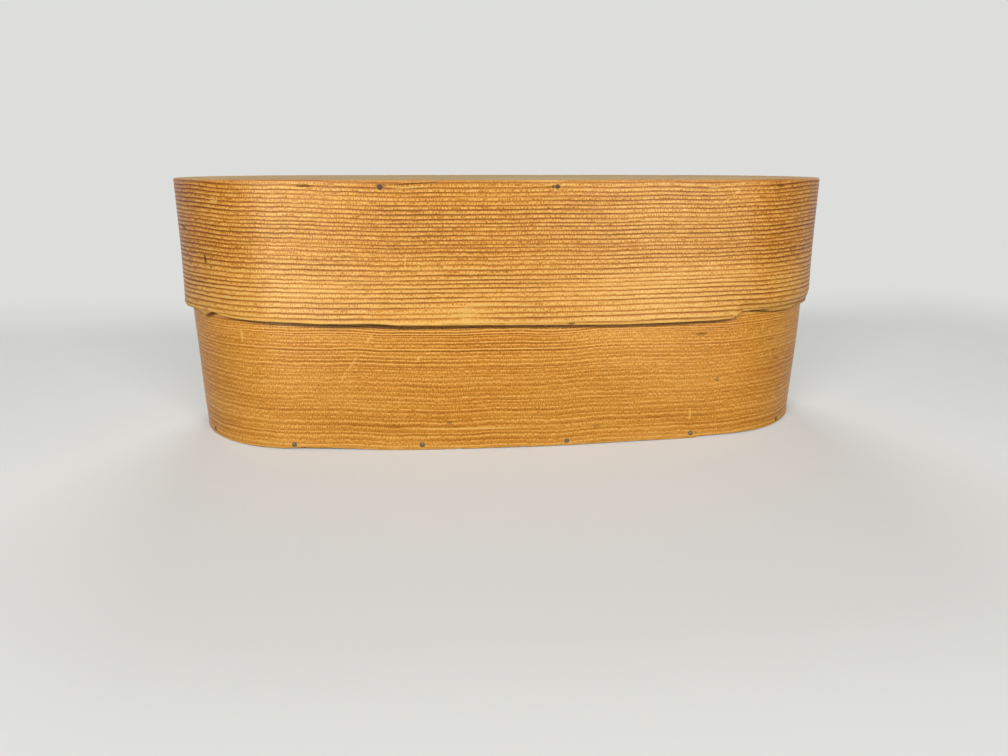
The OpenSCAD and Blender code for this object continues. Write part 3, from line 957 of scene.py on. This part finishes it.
lid_tones = (
    paint(245, 192, 105), paint(229, 158, 63), paint(203, 131, 42), paint(170, 98, 18), paint(128, 66, 5))
lid_dark_marks = (
    (-213.5, 130.7, 2, 4.2, 0, 0.75), (-208, 125.8, 1.6, 1.2, 0, 0.6), (-136, 178.2, 7, 0.9, 0, 0.75),
    (-241, 150, 6, 0.8, -12, 0.8), (-66, 179.9, 22, 0.6, 3.9, 0.7), (-88, 178.4, 4.5, 2, 0, 0.6),
    (179.4, 177.8, 4.5, 1.4, 0, 0.5), (172, 92.9, 12, 0.6, -4, 0.9), (34, 89.6, 3, 0.8, 0, 0.8),
    (20.5, 177.9, 1.4, 1.4, 0, 0.8))
lid_pale_marks = (
    (-70, 177.4, 13, 0.8, 4, 0.5), (-32, 178.3, 0.8, 2, 20, 0.6), (-14, 178.9, 0.8, 2, 0, 0.6),
    (-199, 168.6, 5, 1.4, 0, 0.5), (-74.5, 131, 0.8, 5, 0, 0.5), (-66, 128, 0.7, 4, 0, 0.5),
    (-41, 99, 0.6, 1.8, 12, 0.5), (-38, 95, 0.7, 2.2, -8, 0.6), (-36, 101, 0.6, 2.6, 5, 0.55),
    (-34, 97, 0.6, 1.6, -15, 0.6), (-32, 104, 0.6, 2.8, 8, 0.5), (-30, 99, 0.6, 1.5, 0, 0.5),
    (-28, 95, 0.7, 2, 10, 0.6), (-36, 93, 4, 1.6, 0, 0.7), (-35, 98, 9, 6, 0, 0.3),
    (-49, 127.9, 1, 1.2, 0, 0.8), (146, 174, 5, 0.7, 38, 0.7), (138, 168, 6, 0.7, 36, 0.6),
    (15, 181.2, 19, 0.5, 0, 0.8), (112, 178, 7, 0.8, 0, 0.5), (129, 177, 6, 0.8, 3, 0.5),
    (141, 178, 4, 0.8, 0, 0.5))
# Tacks of the rim by run and height. Three at the front are sunk, with no head to be seen: two have left a
# dark dash in the wood and the one at the left end nothing
lid_tack_places = tack_runs("lid_tacks", lid_outline, lid_length)
lid_sunk_runs = (-231, -136, 179)
lid_sunk = [number for number, (run, height) in enumerate(lid_tack_places)
            if min(abs(run - sunk) for sunk in lid_sunk_runs) < sunk_reach]
lid_shown = [spot for number, spot in enumerate(lid_tack_places) if number not in lid_sunk]
lid_shown += tack_runs("lid_lap_tacks", lid_outline, lid_length)
lid_finish = band_finish(
    "lid_varnish", lid_line, lid_tones, level=0.42, flecks=(0.43, 0.1, 0.14, 0.9),
    edges=(paint(244, 188, 92), paint(190, 125, 64)), bright=paint(247, 198, 106), stain_and_shade=paint(70, 38, 16),
    dark_marks=lid_dark_marks + lap_seam(lid_length, middle=135, half_height=80),
    pale_marks=lid_pale_marks, tacks=lid_shown, rust=0.45)
lid_inside = bare_finish("lid_bare_wood", paint(180, 142, 94), paint(208, 174, 126), paint(152, 112, 68))
bend_band(lid_band, lid_outline, lid_finish, lid_inside)
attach(lid_band, "lid")
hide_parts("lid_band")

# Lid board
# The oval top of the lid, one flat-sawn softwood board let in just below the rim of the lid band.
# Its varnish is dull and greyed by dust and handling, and its colour is painted paler and greyer still as a
# painted reflection of the pale backdrop on its top.

lid_board = oval_board("lid_board_wood", "lid_board", cup=0.5 * mm)
# Pale grey tones: dusty wood, with a painted reflection of the pale backdrop
top_finish = board_finish(
    "lid_board_varnish", paint(186, 156, 106), paint(204, 175, 125), paint(140, 110, 68), dullness=0.58)
lid_board.data.materials.append(top_finish)
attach(lid_board, "lid")
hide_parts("lid_board")

# Lid tacks
# Tacks driven through the rim of the lid band into the edge of the lid board.
# Varnish and rust have browned them nearly to the colour of the wood.

brown_iron = iron_finish("brown_tack_iron", paint(74, 50, 32), paint(62, 38, 22), paint(38, 24, 14))
tack_group("lid_tack_iron", "lid_tacks", "lid", board_tack, seed=33, iron=brown_iron, sunk=lid_sunk)

# Lid lap tacks
# A column of tacks near the tip of the lid's lap, cut off and clenched flush inside.

tack_group("lid_lap_tack_iron", "lid_lap_tacks", "lid", lap_tack, seed=34, iron=brown_iron)

# Stage
# A plain pale sheet that is floor in front and curves up to a backdrop far behind, soft studio light from
# both sides of the front and from behind, and a camera where the photograph was taken from.

sheet_half_width = 4.0
sheet_front, sheet_cove, cove_radius, sheet_top = -3.0, 1.4, 1.0, 4.0
backdrop_grey = paint(221, 222, 219)
floor_glow = 0.3  # share of that even grey in the floor by the box
# Distances from the box's middle over which that share rises to all of it
even_behind, even_around = (0.1, 0.6), (0.45, 0.95)
sheet_seen = paint(234, 235, 232)
sheet_bounce = paint(70, 70, 68)  # the sheet's colour for the light that it throws on to the box
aim_height = 0.09  # height on the box that the lights face
sky_light = 0.055  # strength of the light from all round


def seen_ray(tree):
    """1 for a ray from the camera, a glossy surface or glass, and 0 for one that only carries light."""
    path = add_node("ShaderNodeLightPath", tree=tree).outputs
    seen = larger(path["Is Camera Ray"], path["Is Glossy Ray"])
    return larger(seen, path["Is Transmission Ray"])


def sheet_finish():
    """Pale matt sheet. Behind the box, and all round at some distance, it is seen at an even pale grey."""
    material, tree = new_finish("pale_sheet")
    shader = tree.nodes["Principled BSDF"]
    seen = seen_ray(tree)
    tree.links.new(tint(seen, sheet_bounce, sheet_seen), shader.inputs["Base Color"])
    shader.inputs["Roughness"].default_value = 0.9
    glow = add_output("ShaderNodeEmission", {"Color": backdrop_grey, "Strength": 1.0}, tree)
    coords = add_node("ShaderNodeTexCoord", tree=tree).outputs["Object"]
    axes = axes_of(coords)
    flat = combined(X=axes["X"], Y=axes["Y"])
    behind = ramp(axes["Y"], *even_behind)
    around = ramp(vector_length(flat), *even_around)
    even = larger(larger(behind, around), floor_glow)
    mixed = add_output("ShaderNodeMixShader", {
        0: times(even, seen), 1: shader.outputs[0], 2: glow})
    tree.links.new(mixed, tree.nodes["Material Output"].inputs["Surface"])
    return material


def backdrop_sheet():
    """The floor and backdrop in one piece."""
    profile = [(sheet_front, 0.0)]
    for turn in np.radians(np.linspace(0, 90, 24)):
        profile.append((sheet_cove + cove_radius * math.sin(turn), cove_radius * (1 - math.cos(turn))))
    profile.append((sheet_cove + cove_radius, sheet_top))
    places = [(x, y, z) for y, z in profile for x in (-sheet_half_width, sheet_half_width)]
    faces = [(first, first + 1, first + 3, first + 2) for first in range(0, len(places) - 2, 2)]
    sheet = new_piece("backdrop_sheet", places, faces)
    sheet.data.shade_smooth()
    sheet.data.materials.append(sheet_finish())
    return sheet


def soft_light(name, turn, rise, distance, size, power, matt=True, gloss=True):
    """A soft light that faces the box, turned to the right of the front and raised by degrees.
    matt and gloss tell whether it lights the colour of things and whether it shines on their gloss."""
    lamp = bpy.data.lights.new(name, "AREA")
    lamp.shape = "RECTANGLE"
    lamp.size, lamp.size_y = size
    lamp.energy = power
    light = put_in_scene(name, lamp)
    facing = Matrix.Rotation(math.radians(turn), 3, "Z") @ Matrix.Rotation(math.radians(-rise), 3, "X")
    aim = facing @ Vector((0, 1, 0))
    place = Vector((0, 0, aim_height)) - aim * distance
    light.matrix_world = Matrix.Translation(place) @ aim.to_track_quat("-Z", "Y").to_matrix().to_4x4()
    light.visible_diffuse = matt
    light.visible_glossy = gloss


backdrop_sheet()
soft_light("left_light", turn=-28, rise=27, distance=1.75, size=(0.7, 0.18), power=15.6)
soft_light("right_light", turn=20, rise=27, distance=1.75, size=(0.7, 0.18), power=14.1)
soft_light("left_sheen", turn=-33, rise=8, distance=1.6, size=(0.34, 0.5), power=22, matt=False)
soft_light("right_sheen", turn=28, rise=8, distance=1.6, size=(0.34, 0.5), power=18, matt=False)
soft_light("back_light", turn=180, rise=34, distance=2.4, size=(1.2, 0.8), power=32, gloss=False)

world = bpy.data.worlds.new("studio")
bpy.context.scene.world = world
world.use_nodes = True
sky = world.node_tree.nodes["Background"].inputs
sky["Color"].default_value = backdrop_grey
sky_strength = ramp(seen_ray(world.node_tree), 0.0, 1.0, sky_light, 1.0)
world.node_tree.links.new(sky_strength, sky["Strength"])

camera_pitch, camera_yaw, camera_roll = (math.radians(angle) for angle in (15.822, 5.68, 0.052))
camera_height, camera_distance, camera_side = 191.9 * mm, 598.9 * mm, -0.16 * mm
picture_width, focal_pixels = 1008, 757

level_right = Vector((math.cos(camera_yaw), -math.sin(camera_yaw), 0))
level_ahead = Vector((math.sin(camera_yaw), math.cos(camera_yaw), 0))
forward = level_ahead * math.cos(camera_pitch) - Vector((0, 0, math.sin(camera_pitch)))
level_up = level_right.cross(forward)
right = level_right * math.cos(camera_roll) + level_up * math.sin(camera_roll)
up = level_up * math.cos(camera_roll) - level_right * math.sin(camera_roll)
place = Vector((0, 0, camera_height)) - level_ahead * camera_distance + level_right * camera_side
lens = bpy.data.cameras.new("camera")
lens.sensor_fit = "HORIZONTAL"
lens.sensor_width = 36
lens.lens = lens.sensor_width * focal_pixels / picture_width
lens.clip_start = 0.01
camera = put_in_scene("camera", lens)
turned = Matrix((right, up, -forward)).transposed()
camera.matrix_world = Matrix.Translation(place) @ turned.to_4x4()
bpy.context.scene.camera = camera
bpy.context.scene.view_settings.view_transform = "Standard"
